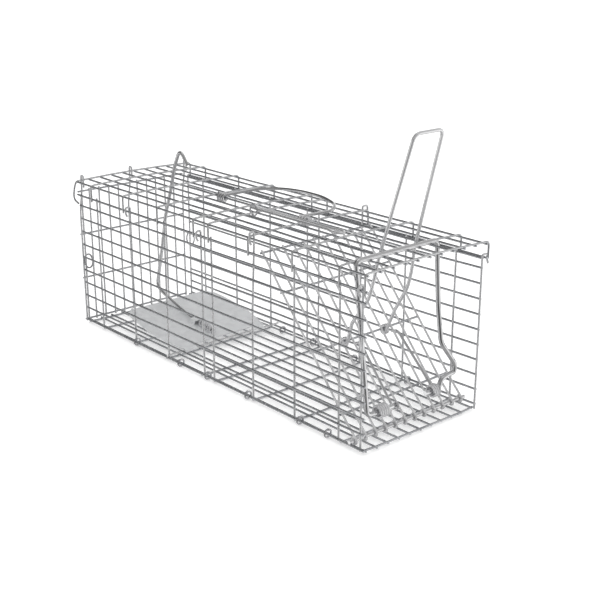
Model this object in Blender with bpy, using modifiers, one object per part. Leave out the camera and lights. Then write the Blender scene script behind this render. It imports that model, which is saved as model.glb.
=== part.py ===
"""A live catch trap: a welded wire cage, a sprung front door with its setting lever,
a treadle with a trigger rod, a latch arm and a carry handle.
Metres, Z up, entrance toward +X. Origin at the middle of the footprint."""

import math

import bmesh
import bpy
from mathutils import Matrix, Vector

MM = 0.001
ORIGIN = Vector((0, 0, 0))

# The mesh. Cell positions count x from the rear end, y from the near side and z up from the lowest side wire.
CELL = 12.7
LENGTH_CELLS = 30.0
WIDTH_CELLS = 10
SIDE_ROWS = 10  # evenly spaced side wires, below the one beside the roof's folded edge
END_BAY = 2.0
BAY = 4.1
MID_BAY = 1.4
BAR = 1.6  # a square bar with the section of a 1.8 mm wire
ROW_0 = 4.6  # height of the lowest side wire
FLOOR_Z = BAR / 2
FLOOR_EDGE_Z = 3.2  # the floor's outer wires are lifted to meet the sides
FLOOR_HALF = 59.5
SIDE_Y = 61.5
ROOF_Z = 141.0
REAR_X = -192.3  # the rear panel closes the end from behind
REAR_HALF = 59.1
REAR_WIRES = 12
REAR_ROWS = (0.1, 3.3, 6.7, 9.9)

# Joining rings.
RING_WIRE = 1.2
RING_RADIUS = 3.3
NEAR_RINGS = (6.5, 11.9, 15.0, 19.3, 24.4, 27.3)
FAR_RINGS = (6.6, 11.6, 15.0, 19.3, 24.4, 27.3)
REAR_RING_RADIUS = 3.55
REAR_RING_ROW = 4.5

# The door lies against its hinge bar and leans back from the entrance.
HINGE_BAR = 3.0
DOOR_HINGE = Vector((178.4, 0.0, 7.3))
DOOR_LEAN = math.radians(49.0)
DOOR_HALF = 54.9
DOOR_WIRES = 10
DOOR_ROWS = (1.7, 5.8, 9.9, 12.7)
KNUCKLE_RADIUS = 2.7
KNUCKLE_WIRE = 1.7

# The setting lever, hooked on the door's second cross wire.
LEVER_WIRE = 2.8
LEVER_HOOK_RADIUS = 2.8
LEVER_HOOK_Y = 24.4
LEVER_LEG = (  # along the trap, half the gap between the legs, and height, in cells
    (29.84, 1.17, 17.95),
    (27.62, 1.5, 10.4),
    (27.4, 1.62, 9.1),
    (27.05, 1.65, 7.8),
    (25.85, 1.85, 6.0),
)

# The spring bail, its two coils and their arms.
BAIL_WIRE = 4.0
NEAR_LEG_Y = -54.6
FAR_LEG_Y = 30.9
COIL_AXIS = Vector((177.8, 0.0, 23.0))
COIL_WIRE = 1.8
COIL_RADIUS = 4.6
COIL_PITCH = 2.2
COIL_TURNS = 6
NEAR_COIL_Y = -32.1
FAR_COIL_Y = 22.5
ARM_WIRE = 2.2
ARM_EYE_RADIUS = 3.3
NEAR_ARM_Y = (-15.5, -12.2)  # at the eye and at the tip
FAR_ARM_Y = (39.0, 36.6)

# The treadle and the trigger rod.
TREADLE_WIRE = 2.0
TREADLE_HINGE = Vector((-54.6, 0.0, 6.8))
TREADLE_TILT = math.radians(8.0)
SHEET = 0.8
CURL_RADIUS = 1.7
PLATE_LENGTH = 91.0
TAB_OUTER = 46.0
TAB_SHARE = 0.72  # the tabs' inner edges, as a share of the half width
CURL_ANGLE = 235.0
CURL_STEPS = 10
NOTCH = 4.0
TRIGGER_WIRE = 2.6
TRIGGER_Y = -5.1
TRIGGER_BENDS = (
    (2.8, 2.35),
    (3.4, 4.4),
    (3.95, 6.55),
    (4.3, 8.15),
    (5.1, 10.22),
    (5.75, 12.2),
    (6.45, 13.5),
    (7.3, 12.5),
)

# The latch arm on the roof, and the ring that holds it.
LATCH_WIRE = 1.8
LATCH_Y = -20.3
LATCH_SPREAD = 1.9
LATCH_PIVOT = Vector((8.9, LATCH_Y, ROOF_Z + 5.1))
LATCH_LENGTH = 109.0
CLIP_RADIUS = 4.8
CLIP_WIRE = 1.4

# The carry handle, wound round a roof wire.
HANDLE_WIRE = 2.8
HANDLE_COIL = 2.9
HANDLE_PITCH = 3.25
HANDLE_TURNS = 3
HANDLE_LEAN = math.radians(10.0)
HANDLE_LINE = 5  # the roof wire it turns on, in cells from the near side
HANDLE_BOW = (
    (11.16, 0.0),
    (11.74, 0.92),
    (12.29, 1.92),
    (13.89, 2.87),
    (15.69, 3.22),
    (17.49, 3.02),
    (19.09, 2.42),
    (19.79, 1.62),
    (18.84, 0.0),
)


def at(x, y, z):
    """The point at this cell position, in millimetres."""
    return Vector(((x - LENGTH_CELLS / 2) * CELL, (y - WIDTH_CELLS / 2) * CELL, ROW_0 + z * CELL))


def stations():
    """X of each hoop, in millimetres: an end bay, three bays, the short middle one, then mirrored."""
    half = [MID_BAY / 2]
    for gap in (BAY, BAY, BAY, END_BAY):
        half.append(half[-1] + gap)
    return [-CELL * value for value in reversed(half)] + [CELL * value for value in half]


def spread(half, count):
    """Evenly spaced values from -half to half."""
    return [half * (2 * index / (count - 1) - 1) for index in range(count)]


def material(name):
    """Bright plated steel."""
    made = bpy.data.materials.new(name)
    made.use_nodes = True
    shader = made.node_tree.nodes["Principled BSDF"]
    shader.inputs["Base Color"].default_value = (0.70, 0.71, 0.73, 1.0)
    shader.inputs["Metallic"].default_value = 1.0
    shader.inputs["Roughness"].default_value = 0.28
    return made


def add_object(name, data, pivot=ORIGIN):
    """An object in the trap's collection with its own material, its origin at the pivot (in millimetres)."""
    made = bpy.data.objects.new(name, data)
    made.location = pivot * MM
    TRAP.objects.link(made)
    data.materials.append(material(name))
    return made


def shade(mesh):
    """Smooth shading, apart from real edges."""
    mesh.shade_smooth()
    mesh.set_sharp_from_angle(angle=math.radians(50))


def settle(obj):
    """Replaces the object's mesh by its evaluated one and drops the modifiers."""
    bpy.context.view_layer.update()
    graph = bpy.context.evaluated_depsgraph_get()
    mesh = bpy.data.meshes.new_from_object(obj.evaluated_get(graph))
    obj.modifiers.clear()
    obj.data = mesh


def mesh_from_curve(curve):
    """The curve object as a mesh object with its caps welded on. The curve is removed."""
    bpy.context.view_layer.update()
    graph = bpy.context.evaluated_depsgraph_get()
    mesh = bpy.data.meshes.new_from_object(curve.evaluated_get(graph))
    welded = bmesh.new()
    welded.from_mesh(mesh)
    bmesh.ops.remove_doubles(welded, verts=welded.verts, dist=0.000001)
    bmesh.ops.recalc_face_normals(welded, faces=welded.faces)
    welded.to_mesh(mesh)
    welded.free()
    name = curve.name
    made = bpy.data.objects.new(name, mesh)
    made.matrix_world = curve.matrix_world
    bpy.data.objects.remove(curve)
    TRAP.objects.link(made)
    made.name = name
    return made


def fuse(obj, extra):
    """Joins the extra solid to the object as one body."""
    modifier = obj.modifiers.new("fuse", "BOOLEAN")
    modifier.operation = "UNION"
    modifier.solver = "EXACT"
    modifier.object = extra
    settle(obj)
    bpy.data.objects.remove(extra)


def placed_grid(columns, rows, keep, place, pivot):
    """A bmesh grid of the cells that keep(column, row) accepts by their middles. Each of its points
    lies at place(column, row), in millimetres about the pivot."""
    grid = bmesh.new()
    last_column = len(columns) - 1
    last_row = len(rows) - 1
    bmesh.ops.create_grid(grid, x_segments=last_column, y_segments=last_row, size=1.0)
    gaps = []
    for face in grid.faces:
        middle = face.calc_center_median()
        column = int((middle.x + 1) / 2 * last_column)
        row = int((middle.y + 1) / 2 * last_row)
        if not keep((columns[column] + columns[column + 1]) / 2, (rows[row] + rows[row + 1]) / 2):
            gaps.append(face)
    bmesh.ops.delete(grid, geom=gaps, context="FACES")
    for vertex in grid.verts:
        column = round((vertex.co.x + 1) / 2 * last_column)
        row = round((vertex.co.y + 1) / 2 * last_row)
        vertex.co = (place(columns[column], rows[row]) - pivot) * MM
    grid.normal_update()
    return grid


def object_from_bmesh(name, source, pivot=ORIGIN):
    mesh = bpy.data.meshes.new(name)
    source.to_mesh(mesh)
    source.free()
    return add_object(name, mesh, pivot)


def thicken(obj, thickness):
    """Gives an open surface its thickness, half to each side."""
    sheet = obj.modifiers.new("thickness", "SOLIDIFY")
    sheet.thickness = thickness * MM
    sheet.offset = 0.0
    sheet.use_even_offset = True


def bar_edges(middles):
    """Both edges of each bar."""
    return [middle + side * BAR / 2 for middle in middles for side in (-1, 1)]


def lattice(name, columns, rows, place, pivot=ORIGIN, folds=()):
    """A welded grid of square bars, one body: a sheet cut away between its bars, then thickened.
    Columns, rows and folds are distances along the flat sheet, and place(column, row) gives where
    each point of it lies."""

    def keep(column, row):
        on_column = any(abs(column - middle) < BAR / 2 for middle in columns)
        on_row = any(abs(row - middle) < BAR / 2 for middle in rows)
        return on_column or on_row

    row_edges = sorted([*bar_edges(rows), *folds])
    grid = placed_grid(bar_edges(columns), row_edges, keep, place, pivot)
    made = object_from_bmesh(name, grid, pivot)
    thicken(made, BAR)
    return made


def rounded(corners, radius, steps=3):
    """The corners joined by straight runs, with each inner corner turned smoothly."""
    path = [corners[0]]
    for before, corner, after in zip(corners, corners[1:], corners[2:]):
        reach = min(radius, (before - corner).length * 0.45, (after - corner).length * 0.45)
        start = corner + (before - corner).normalized() * reach
        end = corner + (after - corner).normalized() * reach
        for step in range(steps + 1):
            share = step / steps
            path.append(start * (1 - share) ** 2 + corner * 2 * share * (1 - share) + end * share**2)
    path.append(corners[-1])
    return path


def wire_object(name, paths, wire, pivot=ORIGIN, closed=False, resolution=2):
    """Round wire bent along each path, as one curve object."""
    curve = bpy.data.curves.new(name, "CURVE")
    curve.dimensions = "3D"
    curve.bevel_depth = wire / 2 * MM
    curve.bevel_resolution = resolution
    curve.use_fill_caps = not closed
    for path in paths:
        spline = curve.splines.new("POLY")
        spline.points.add(len(path) - 1)
        spline.use_cyclic_u = closed
        for point, place in zip(spline.points, path):
            point.co = (*(place - pivot) * MM, 1.0)
    return add_object(name, curve, pivot)


def flat_object(name, outline, thickness, centre, across, upward):
    """A sheet piece from its outline in millimetres, in the plane of two directions, as one curve object."""
    curve = bpy.data.curves.new(name, "CURVE")
    curve.dimensions = "2D"
    curve.fill_mode = "BOTH"
    curve.extrude = thickness / 2 * MM
    spline = curve.splines.new("POLY")
    spline.points.add(len(outline) - 1)
    spline.use_cyclic_u = True
    for point, (x, y) in zip(spline.points, outline):
        point.co = (x * MM, y * MM, 0.0, 1.0)
    made = add_object(name, curve)
    normal = across.cross(upward)
    turn = Matrix((across, upward, normal)).transposed().to_4x4()
    made.matrix_world = Matrix.Translation(centre * MM) @ turn
    return made


def arc_xz(centre, radius, start, end, steps, y_end=None):
    """Points on an arc round a Y-directed axis, angles in degrees from +X toward +Z."""
    path = []
    for step in range(steps + 1):
        share = step / steps
        turn = math.radians(start + (end - start) * share)
        y = centre.y if y_end is None else centre.y + (y_end - centre.y) * share
        path.append(Vector((centre.x + radius * math.cos(turn), y, centre.z + radius * math.sin(turn))))
    return path


def ring(name, centre, radius, wire, rotation, segments=14):
    """A closed ring, flat in XY before its rotation."""
    bpy.ops.mesh.primitive_torus_add(
        major_segments=segments,
        minor_segments=6,
        major_radius=radius * MM,
        minor_radius=wire / 2 * MM,
        location=centre * MM,
        rotation=rotation,
    )
    made = bpy.context.object
    made.name = name
    made.data.name = name
    for holder in list(made.users_collection):
        holder.objects.unlink(made)
    TRAP.objects.link(made)
    made.data.materials.append(material(name))
    shade(made.data)


def build_cage():
    hoops = stations()
    wall = WIDTH_CELLS * CELL / 2
    # The roof sheet's edges are folded one cell down, outside the side panels.
    roof_lines = spread(wall + CELL, WIDTH_CELLS + 3)

    def roof_place(x, across):
        beyond = max(0.0, abs(across) - wall)
        return Vector((x, max(-wall, min(wall, across)), ROOF_Z - beyond))

    lattice("roof_sheet", hoops, roof_lines, roof_place, folds=(-wall, wall))
    side_rows = [at(0, 0, row).z for row in range(SIDE_ROWS)]
    side_rows.append(ROOF_Z - CELL)
    lattice("near_side_panel", hoops, side_rows, lambda x, z: Vector((x, -SIDE_Y, z)))
    lattice("far_side_panel", hoops, side_rows, lambda x, z: Vector((x, SIDE_Y, z)))
    floor_lines = spread(FLOOR_HALF, WIDTH_CELLS + 1)

    def floor_place(x, y):
        # Flat up to the last wire but one, then up to the raised edge wire.
        start = floor_lines[-2] + BAR / 2
        rise = max(0.0, min(1.0, (abs(y) - start) / (FLOOR_HALF - BAR / 2 - start)))
        return Vector((x, y, FLOOR_Z + (FLOOR_EDGE_Z - FLOOR_Z) * rise))

    lattice("floor_sheet", hoops, floor_lines, floor_place)
    rear_rows = [at(0, 0, row).z for row in REAR_ROWS]
    lattice("rear_panel", spread(REAR_HALF, REAR_WIRES), rear_rows, lambda y, z: Vector((REAR_X, y, z)))


def build_rings():
    quarter = math.pi / 2
    ring_y = (SIDE_Y + FLOOR_HALF) / 2
    ring_z = (ROW_0 + FLOOR_EDGE_Z) / 2 + 0.05
    for label, sign, places in (("near", -1, NEAR_RINGS), ("far", 1, FAR_RINGS)):
        for number, x in enumerate(places, 1):
            centre = Vector((at(x, 0, 0).x, sign * ring_y, ring_z))
            ring(f"{label}_floor_ring_{number}", centre, RING_RADIUS, RING_WIRE, (0, quarter, 0), 12)
        corner_x = (REAR_X - LENGTH_CELLS * CELL / 2) / 2
        centre = Vector((corner_x, sign * (SIDE_Y + REAR_HALF) / 2, at(0, 0, REAR_RING_ROW).z))
        ring(f"{label}_rear_ring", centre, REAR_RING_RADIUS, RING_WIRE, (0, 0, 0))
    clip_z = ROOF_Z - BAR / 2 - 0.35 + CLIP_RADIUS - CLIP_WIRE / 2
    centre = Vector((LATCH_PIVOT.x, LATCH_Y, clip_z))
    ring("roof_clip_ring", centre, CLIP_RADIUS, CLIP_WIRE, (quarter, 0, 0))


def door_point(along, y, front=0.0):
    """A point on the closed door: along it from the hinge, and out in front of it, in millimetres."""
    up = Vector((-math.cos(DOOR_LEAN), 0, math.sin(DOOR_LEAN)))
    out = Vector((math.sin(DOOR_LEAN), 0, math.cos(DOOR_LEAN)))
    return DOOR_HINGE + up * along + out * front + Vector((0, y, 0))


def build_door():
    end = Vector((0, SIDE_Y + 3.0, 0))
    wire_object("door_hinge_bar", [[DOOR_HINGE - end, DOOR_HINGE + end]], HINGE_BAR)
    lines = spread(DOOR_HALF, DOOR_WIRES)
    rows = [row * CELL for row in DOOR_ROWS]
    door = lattice("door_grid", lines, rows, lambda y, along: door_point(along, y), DOOR_HINGE)
    settle(door)
    paths = []
    lean = 180 - math.degrees(DOOR_LEAN)
    for y in lines:
        # Each door wire runs down to the bar, turns round it and stops short of itself.
        centre = DOOR_HINGE + Vector((0, y, 0))
        path = [door_point(rows[0], y), door_point(8.0, y, -0.6)]
        path += arc_xz(centre, KNUCKLE_RADIUS, lean + 75, lean + 325, 8)
        paths.append(path)
    fuse(door, mesh_from_curve(wire_object("knuckles", paths, KNUCKLE_WIRE, resolution=1)))


def hook_path(centre, start, wire_radius, sweep):
    """A turn round a Y-directed wire, entered along a straight line that comes from the start point."""
    gap = start - Vector((centre.x, start.y, centre.z))
    heading = math.degrees(math.atan2(gap.z, gap.x))
    touch = heading - math.degrees(math.acos(wire_radius / math.hypot(gap.x, gap.z)))
    return arc_xz(centre, wire_radius, touch, touch - sweep, 10)


def build_lever():
    cross = door_point(DOOR_ROWS[1] * CELL, 0)
    legs = []
    for sign in (-1, 1):
        hook = Vector((cross.x, sign * LEVER_HOOK_Y, cross.z))
        corners = [at(x, WIDTH_CELLS / 2 + sign * half, z) for x, half, z in LEVER_LEG]
        turn = hook_path(hook, corners[-1], LEVER_HOOK_RADIUS, 250)
        legs.append((corners, turn))
    (near, near_turn), (far, far_turn) = legs
    straight = rounded(list(reversed(near)) + far, 6.0)
    # The straight runs' own ends stand just above each hook, so the hooks join on smoothly.
    path = list(reversed(near_turn)) + straight + far_turn
    wire_object("setting_lever", [path], LEVER_WIRE, cross)


def build_bail():
    # Its top bar lies across the roof wires, and its legs pass down between them.
    top_x = at(28.58, 0, 0).x
    top_z = ROOF_Z + BAR / 2 + BAIL_WIRE / 2 + 0.1
    near_end = COIL_AXIS + Vector((0, -13.2, 0))
    near_corner = COIL_AXIS + Vector((0, -45.5, 0))
    far_corner = COIL_AXIS + Vector((0, 43.0, 0))
    far_end = COIL_AXIS + Vector((0, 18.0, 0))
    corners = [
        near_end,
        near_corner,
        Vector((top_x, NEAR_LEG_Y, top_z)),
        Vector((top_x, FAR_LEG_Y, top_z)),
        at(28.4, 8.0, 6.6),
        at(28.7, 8.05, 4.3),
        at(29.1, 9.0, 2.75),
        at(29.05, 9.0, 2.2),
        far_corner,
        far_end,
    ]
    wire_object("spring_bail", [rounded(corners, 3.4)], BAIL_WIRE)


def build_springs():
    for label, start_y in (("near", NEAR_COIL_Y), ("far", FAR_COIL_Y)):
        centre = COIL_AXIS + Vector((0, start_y, 0))
        end_y = start_y + COIL_PITCH * COIL_TURNS
        path = arc_xz(centre, COIL_RADIUS, 0, 360 * COIL_TURNS, 10 * COIL_TURNS, end_y)
        wire_object(f"{label}_spring_coil", [path], COIL_WIRE, resolution=1)
    for label, (eye_y, tip_y) in (("near", NEAR_ARM_Y), ("far", FAR_ARM_Y)):
        # The arm lies in front of the door and its finger reaches through just below the second cross wire.
        reach = DOOR_ROWS[1] * CELL - BAR / 2 - 0.6 - ARM_WIRE / 2
        shoulder = door_point(reach - 2.6, tip_y, 3.0)
        centre = COIL_AXIS + Vector((0, eye_y, 0))
        gap = shoulder - COIL_AXIS
        heading = math.degrees(math.atan2(gap.z, gap.x))
        touch = heading + math.degrees(math.acos(ARM_EYE_RADIUS / math.hypot(gap.x, gap.z)))
        path = arc_xz(centre, ARM_EYE_RADIUS, touch + 250, touch, 10)
        path += rounded([path[-1].lerp(shoulder, 0.02), shoulder, door_point(reach, tip_y, -3.2)], 2.6)
        wire_object(f"{label}_spring_arm", [path], ARM_WIRE, COIL_AXIS)


def plate_point(back, y, height):
    """A point of the treadle: back from its hinge along the plate, and above the hinge, in millimetres."""
    rearward = Vector((-math.cos(TREADLE_TILT), 0, math.sin(TREADLE_TILT)))
    up = Vector((math.sin(TREADLE_TILT), 0, math.cos(TREADLE_TILT)))
    return TREADLE_HINGE + rearward * back + up * height + Vector((0, y, 0))


def half_width(back):
    """Half the treadle's width at this distance from its hinge: narrow at the front, widest in the middle."""
    shape = (
        (0.0, TAB_OUTER),
        (8.0, 50.0),
        (38.0, 54.5),
        (68.0, 53.0),
        (PLATE_LENGTH - 9, 51.0),
        (PLATE_LENGTH, 44.0),
    )
    for (start, narrow), (end, wide) in zip(shape, shape[1:]):
        if back <= end:
            return narrow + (wide - narrow) * max(0.0, back - start) / (end - start)
    return shape[-1][1]


def build_treadle():
    end = Vector((0, SIDE_Y + 3.0, 0))
    wire_object("treadle_hinge_wire", [[TREADLE_HINGE - end, TREADLE_HINGE + end]], TREADLE_WIRE)
    # Negative rows are degrees of the front curl, and the others are distances back from the hinge.
    curl_rows = [-CURL_ANGLE * (CURL_STEPS - step) / CURL_STEPS for step in range(CURL_STEPS)]
    rows = [*curl_rows, 0.0, NOTCH, 20.0, 38.0, 53.0, 68.0, PLATE_LENGTH - 9, PLATE_LENGTH]
    columns = [-1.0, -TAB_SHARE, TAB_SHARE, 1.0]

    def place(column, row):
        y = column * half_width(row)
        if row >= 0:
            return plate_point(row, y, CURL_RADIUS)
        turn = math.radians(-row)
        return plate_point(-CURL_RADIUS * math.sin(turn), y, CURL_RADIUS * math.cos(turn))

    def keep(column, row):
        # Between the two tabs the sheet stops short of the hinge wire.
        return row > NOTCH or abs(column) > TAB_SHARE

    grid = placed_grid(columns, rows, keep, place, TREADLE_HINGE)
    plate = object_from_bmesh("treadle_plate", grid, TREADLE_HINGE)
    thicken(plate, SHEET)
    settle(plate)
    fuse(plate, mesh_from_curve(strap()))
    rod = [plate_point(back, TRIGGER_Y, height) for back, height in ((20, 3.85), (58, 3.85), (80, 5.9))]
    for x, z in TRIGGER_BENDS:
        point = at(x, 0, z)
        rod.append(Vector((point.x, TRIGGER_Y, point.z)))
    wire_object("trigger_rod", [rounded(rod, 8.0, 4)], TRIGGER_WIRE, TREADLE_HINGE)


def strap():
    """The narrow bridge of sheet metal that holds the trigger rod down on the plate."""
    outer = [(-6.0, 0.0), (-4.2, 4.6), (4.2, 4.6), (6.0, 0.0)]
    inner = [(5.2, 0.0), (3.6, 3.9), (-3.6, 3.9), (-5.2, 0.0)]
    centre = plate_point(37.5, TRIGGER_Y, CURL_RADIUS)
    upward = plate_point(0, 0, 1) - plate_point(0, 0, 0)
    return flat_object("strap", outer + inner, 7.0, centre, Vector((0, 1, 0)), upward)


def build_latch_arm():
    """A doubled wire, its sides drawn together by the ring and swelling to a loop at the free end."""
    tip = LATCH_PIVOT.x + LATCH_LENGTH
    high = LATCH_PIVOT.z + 0.4
    side = [Vector((LATCH_PIVOT.x, LATCH_SPREAD, LATCH_PIVOT.z))]
    for back, half in ((16, LATCH_SPREAD), (9, 4.0), (3, 3.4), (0, 1.2)):
        side.append(Vector((tip - back, half, high)))
    mirrored = [Vector((point.x, -point.y, point.z)) for point in reversed(side)]
    path = [point + Vector((0, LATCH_Y, 0)) for point in side + mirrored]
    wire_object("latch_arm", [path], LATCH_WIRE, LATCH_PIVOT, closed=True)


def build_handle():
    pivot = Vector((0, at(0, HANDLE_LINE, 0).y, ROOF_Z))
    outward = Vector((0, math.cos(HANDLE_LEAN), math.sin(HANDLE_LEAN)))
    above = Vector((0, -math.sin(HANDLE_LEAN), math.cos(HANDLE_LEAN)))
    length = HANDLE_PITCH * HANDLE_TURNS
    steps = 10 * HANDLE_TURNS

    def coil(x_start, direction):
        """The turns from the free end to the bow (direction -1), or from the bow to the free end (+1)."""
        turns = []
        for step in range(steps + 1):
            turn = 2 * math.pi * HANDLE_TURNS * step / steps
            along = Vector((x_start + direction * length * step / steps - pivot.x, 0, 0))
            turns.append(pivot + along + (above * math.cos(turn) - outward * math.sin(turn)) * HANDLE_COIL)
        return turns

    first_x = at(HANDLE_BOW[0][0], 0, 0).x
    last_x = at(HANDLE_BOW[-1][0], 0, 0).x
    bow = []
    for x, reach in HANDLE_BOW[1:-1]:
        flat = at(x, 0, 0).x - pivot.x
        bow.append(pivot + Vector((flat, 0, 0)) + outward * reach * CELL + above * HANDLE_COIL)
    start = coil(first_x, -1)
    finish = coil(last_x, 1)
    path = list(reversed(start)) + rounded([start[0], *bow, finish[0]], 12.0)[1:-1] + finish
    wire_object("carry_handle", [path], HANDLE_WIRE, pivot)


for startup in list(bpy.data.objects):
    bpy.data.objects.remove(startup)
bpy.context.scene.unit_settings.scale_length = 1.0
TRAP = bpy.data.collections.new("live_catch_trap")
bpy.context.scene.collection.children.link(TRAP)
build_cage()
build_rings()
build_door()
build_lever()
build_bail()
build_springs()
build_treadle()
build_latch_arm()
build_handle()
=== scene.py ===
"""Looks for the live catch trap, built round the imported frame.

Bright welded wire, plated rods and one galvanised sheet. Lengths are in millimetres unless a comment says
otherwise. X runs from the rear to the door, Y from the near side to the far side, Z up.
"""

import math
import random

import bpy
from mathutils import Matrix, Vector


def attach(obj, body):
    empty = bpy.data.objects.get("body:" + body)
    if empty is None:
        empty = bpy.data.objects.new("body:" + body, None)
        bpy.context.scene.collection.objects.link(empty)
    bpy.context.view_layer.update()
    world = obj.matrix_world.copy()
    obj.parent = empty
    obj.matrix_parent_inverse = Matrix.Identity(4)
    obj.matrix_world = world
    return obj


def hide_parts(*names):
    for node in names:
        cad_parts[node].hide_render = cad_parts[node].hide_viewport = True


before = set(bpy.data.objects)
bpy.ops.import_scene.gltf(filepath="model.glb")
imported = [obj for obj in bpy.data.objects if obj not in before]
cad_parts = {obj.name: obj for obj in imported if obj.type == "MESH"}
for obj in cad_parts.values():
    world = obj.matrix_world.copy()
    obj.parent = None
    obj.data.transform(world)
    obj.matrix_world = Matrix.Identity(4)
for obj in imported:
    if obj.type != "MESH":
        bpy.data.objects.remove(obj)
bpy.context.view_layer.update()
random.seed(7)

MM = 0.001
CELL = 12.7  # the mesh's pitch
LENGTH = 30.0  # cells
WIDTH = 10  # cells
ROW_0 = 4.6  # height of the lowest row of cells
WALL = WIDTH * CELL / 2
BAR_HALF = 64.3  # half the length of the bars across the cage
ROOF_Z = 141.0
WIRE = 1.8
WELD = 1.45  # between the middles of two crossing wires, which sink into each other where they are welded
TAIL = 1.8  # how far cut ends stand out past the last wire they cross
STATIONS = (0, 2, 6.1, 10.2, 14.3, 15.7, 19.8, 23.9, 28, 30)  # the cross wires, in cells from the rear
FRONTMOST = len(STATIONS) - 1
TURN_STEPS = 28  # points in a full turn of coiled wire
WIRE_SMOOTHNESS, SPRING_SMOOTHNESS, ROD_SMOOTHNESS = 4, 5, 6  # how finely each kind is rounded
ROD_BEND_STEPS = 10
UP = Vector((0, 0, 1))


def at(x, y, z):
    """The point at this place in cells: x from the rear, y from the near side, z up."""
    return Vector(((x - LENGTH / 2) * CELL, (y - WIDTH / 2) * CELL, ROW_0 + z * CELL))


def station(x):
    """The place along the cage that is x cells from its rear."""
    return (x - LENGTH / 2) * CELL


# Materials

PATCHES = {"scale": 55.0, "detail": 5.0}
DULLNESS = {"scale": 210.0, "detail": 3.0}
GRAIN = {"scale": 1500.0, "detail": 2.0}
GRAIN_DEPTH = 0.2 * MM
ROLLING_LINES = {"scale": 30.0, "detail": 6.0, "stretch": (0.6, 30.0, 1.0)}
ROLLING_DEPTH = 0.3 * MM
SPANGLE_SCALE = 160.0
SHEET_BARE = 0.4


def new_material(name):
    made = bpy.data.materials.new(name)
    made.use_nodes = True
    tree = made.node_tree
    return made, tree, tree.nodes["Principled BSDF"]


def add_noise(tree, scale, detail, stretch=(1, 1, 1)):
    """A noise texture in the piece's own coordinates."""
    where = tree.nodes.new("ShaderNodeTexCoord")
    mapping = tree.nodes.new("ShaderNodeMapping")
    mapping.inputs["Scale"].default_value = stretch
    noise = tree.nodes.new("ShaderNodeTexNoise")
    noise.inputs["Scale"].default_value = scale
    noise.inputs["Detail"].default_value = detail
    tree.links.new(where.outputs["Object"], mapping.inputs["Vector"])
    tree.links.new(mapping.outputs["Vector"], noise.inputs["Vector"])
    return noise.outputs["Fac"]


def add_ramp(tree, source, stops):
    """A colour ramp with grey or coloured stops: (position, value or colour)."""
    node = tree.nodes.new("ShaderNodeValToRGB")
    elements = node.color_ramp.elements
    for element, (position, value) in zip(elements, stops):
        element.position = position
        colour = value if isinstance(value, tuple) else (value, value, value)
        element.color = (*colour, 1.0)
    tree.links.new(source, node.inputs["Fac"])
    return node.outputs["Color"]


def add_bump(tree, shader, height, strength, depth):
    relief = tree.nodes.new("ShaderNodeBump")
    relief.inputs["Strength"].default_value = strength
    relief.inputs["Distance"].default_value = depth
    tree.links.new(height, relief.inputs["Height"])
    tree.links.new(relief.outputs["Normal"], shader.inputs["Normal"])


def add_painted_near_sheen(tree, tint, painted_highlight_share):
    """A painted highlight: the tint drawn toward white by up to this share at the near side, and left alone
    at the far side.
    """
    where = tree.nodes.new("ShaderNodeTexCoord")
    parts = tree.nodes.new("ShaderNodeSeparateXYZ")
    tree.links.new(where.outputs["Object"], parts.inputs["Vector"])
    share = tree.nodes.new("ShaderNodeMapRange")
    share.inputs["From Min"].default_value = WALL * MM
    share.inputs["From Max"].default_value = -WALL * MM
    share.inputs["To Max"].default_value = painted_highlight_share
    tree.links.new(parts.outputs["Y"], share.inputs["Value"])
    blend = tree.nodes.new("ShaderNodeMix")
    blend.data_type = "RGBA"
    tree.links.new(share.outputs["Result"], blend.inputs["Factor"])
    tree.links.new(tint, blend.inputs["A"])
    blend.inputs["B"].default_value = (1, 1, 1, 1)
    return blend.outputs["Result"]


def plated_wire(name, dark, light, smooth, rough, bump, painted_near_sheen=0.0, bare=1.0):
    """Bright plated wire: patches of duller plating, smoother and rougher places, and fine drawing marks.

    The painted near sheen is a highlight painted into the tint, paler toward the near side. Bare is how much
    of it mirrors rather than scatters.
    """
    made, tree, shader = new_material(name)
    shader.inputs["Metallic"].default_value = bare
    tint = add_ramp(tree, add_noise(tree, **PATCHES), ((0.3, dark), (0.62, light)))
    # painted highlight: paler toward the near side
    if painted_near_sheen:
        tint = add_painted_near_sheen(tree, tint, painted_near_sheen)
    tree.links.new(tint, shader.inputs["Base Color"])
    roughness = add_ramp(tree, add_noise(tree, **DULLNESS), ((0.35, smooth), (0.7, rough)))
    tree.links.new(roughness, shader.inputs["Roughness"])
    add_bump(tree, shader, add_noise(tree, **GRAIN), bump, GRAIN_DEPTH)
    return made


def galvanised(name, dark, light, smooth, rough, bump):
    """Thin galvanised sheet: pale grey with a soft spangle and faint rolling lines."""
    made, tree, shader = new_material(name)
    shader.inputs["Metallic"].default_value = SHEET_BARE
    where = tree.nodes.new("ShaderNodeTexCoord")
    spangle = tree.nodes.new("ShaderNodeTexVoronoi")
    spangle.inputs["Scale"].default_value = SPANGLE_SCALE
    tree.links.new(where.outputs["Object"], spangle.inputs["Vector"])
    tint = add_ramp(tree, spangle.outputs["Color"], ((0.1, dark), (0.9, light)))
    tree.links.new(tint, shader.inputs["Base Color"])
    lines = add_noise(tree, **ROLLING_LINES)
    tree.links.new(add_ramp(tree, lines, ((0.3, smooth), (0.7, rough))), shader.inputs["Roughness"])
    add_bump(tree, shader, lines, bump, ROLLING_DEPTH)
    return made


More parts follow.
